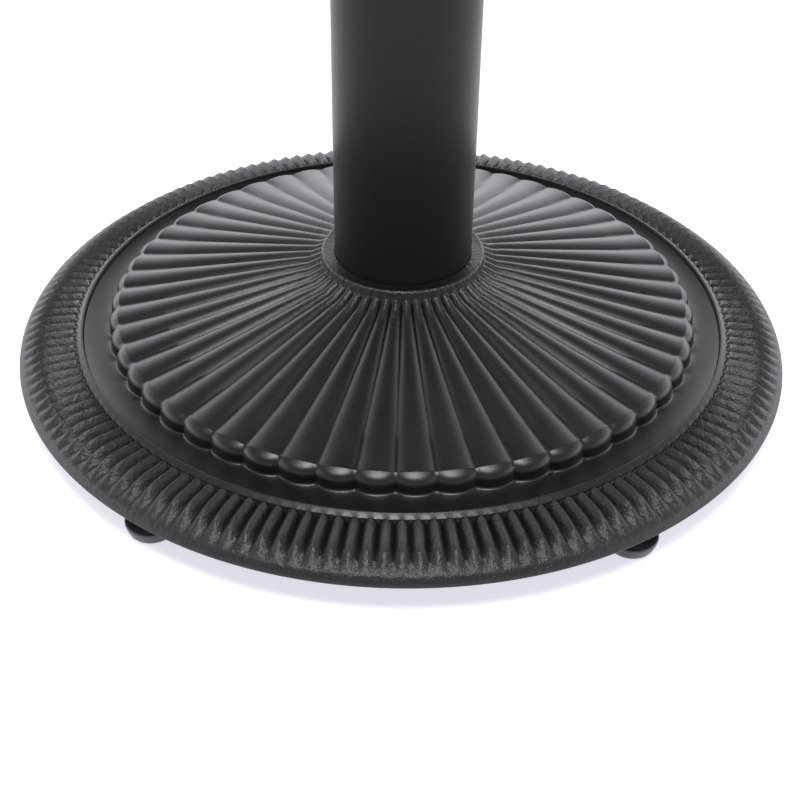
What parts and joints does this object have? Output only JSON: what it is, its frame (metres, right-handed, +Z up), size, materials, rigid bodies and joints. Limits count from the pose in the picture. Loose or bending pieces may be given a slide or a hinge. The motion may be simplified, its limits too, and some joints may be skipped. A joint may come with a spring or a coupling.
{
  "type": "pedestal table base",
  "caption": "Round fluted cast-iron pedestal base with a ribbed rim, a round steel column, a four-arm top spider and levelling glides.",
  "frame": {"origin": "on the floor, on the axis of the column", "axes": "+Z up along the column; +Y towards the first of the five glides"},
  "size_m": [0.4318, 0.4318, 0.7175],
  "materials": {
    "cast_iron_black": "satin black powder coat over rough cast iron",
    "column_black": "satin black powder coat, fine orange peel",
    "zinc_steel": "bright zinc plated steel",
    "glide_nylon": "black moulded nylon, slightly glossy"
  },
  "bodies": {
    "root": {"base_casting": "cast_iron_black", "column_tube": "column_black", "tie_rod": "zinc_steel", "bottom_flat_washer": "zinc_steel", "bottom_lock_washer": "zinc_steel", "bottom_nut": "zinc_steel", "top_flat_washer": "zinc_steel", "top_lock_washer": "zinc_steel", "top_nut": "zinc_steel", "top_spider": "cast_iron_black"},
    "glide_1": {"foot_1_pad": "glide_nylon"},
    "stud_1": {"foot_1_stud": "zinc_steel"},
    "glide_2": {"foot_2_pad": "glide_nylon"},
    "stud_2": {"foot_2_stud": "zinc_steel"},
    "glide_3": {"foot_3_pad": "glide_nylon"},
    "stud_3": {"foot_3_stud": "zinc_steel"},
    "glide_4": {"foot_4_pad": "glide_nylon"},
    "stud_4": {"foot_4_stud": "zinc_steel"},
    "glide_5": {"foot_5_pad": "glide_nylon"},
    "stud_5": {"foot_5_stud": "zinc_steel"}
  },
  "joints": [
    {"name": "foot_1_travel", "type": "slide", "parent": "root", "child": "glide_1", "axis": [0, 0, -1], "range_m": [-0.0025, 0.00375]},
    {"name": "foot_1_turn", "type": "hinge", "parent": "glide_1", "child": "stud_1", "pos_m": [0, 0.2, 0.012], "axis": [0, 0, -1], "range_deg": [-720, 1080]},
    {"name": "foot_2_travel", "type": "slide", "parent": "root", "child": "glide_2", "axis": [0, 0, -1], "range_m": [-0.0025, 0.00375]},
    {"name": "foot_2_turn", "type": "hinge", "parent": "glide_2", "child": "stud_2", "pos_m": [-0.19021, 0.0618, 0.012], "axis": [0, 0, -1], "range_deg": [-720, 1080]},
    {"name": "foot_3_travel", "type": "slide", "parent": "root", "child": "glide_3", "axis": [0, 0, -1], "range_m": [-0.0025, 0.00375]},
    {"name": "foot_3_turn", "type": "hinge", "parent": "glide_3", "child": "stud_3", "pos_m": [-0.11756, -0.1618, 0.012], "axis": [0, 0, -1], "range_deg": [-720, 1080]},
    {"name": "foot_4_travel", "type": "slide", "parent": "root", "child": "glide_4", "axis": [0, 0, -1], "range_m": [-0.0025, 0.00375]},
    {"name": "foot_4_turn", "type": "hinge", "parent": "glide_4", "child": "stud_4", "pos_m": [0.11756, -0.1618, 0.012], "axis": [0, 0, -1], "range_deg": [-720, 1080]},
    {"name": "foot_5_travel", "type": "slide", "parent": "root", "child": "glide_5", "axis": [0, 0, -1], "range_m": [-0.0025, 0.00375]},
    {"name": "foot_5_turn", "type": "hinge", "parent": "glide_5", "child": "stud_5", "pos_m": [0.19021, 0.0618, 0.012], "axis": [0, 0, -1], "range_deg": [-720, 1080]}
  ],
  "couplings": [
    {"joint": "foot_1_travel", "follows": "foot_1_turn", "m_per_rad": 0.00019894},
    {"joint": "foot_2_travel", "follows": "foot_2_turn", "m_per_rad": 0.00019894},
    {"joint": "foot_3_travel", "follows": "foot_3_turn", "m_per_rad": 0.00019894},
    {"joint": "foot_4_travel", "follows": "foot_4_turn", "m_per_rad": 0.00019894},
    {"joint": "foot_5_travel", "follows": "foot_5_turn", "m_per_rad": 0.00019894}
  ]
}
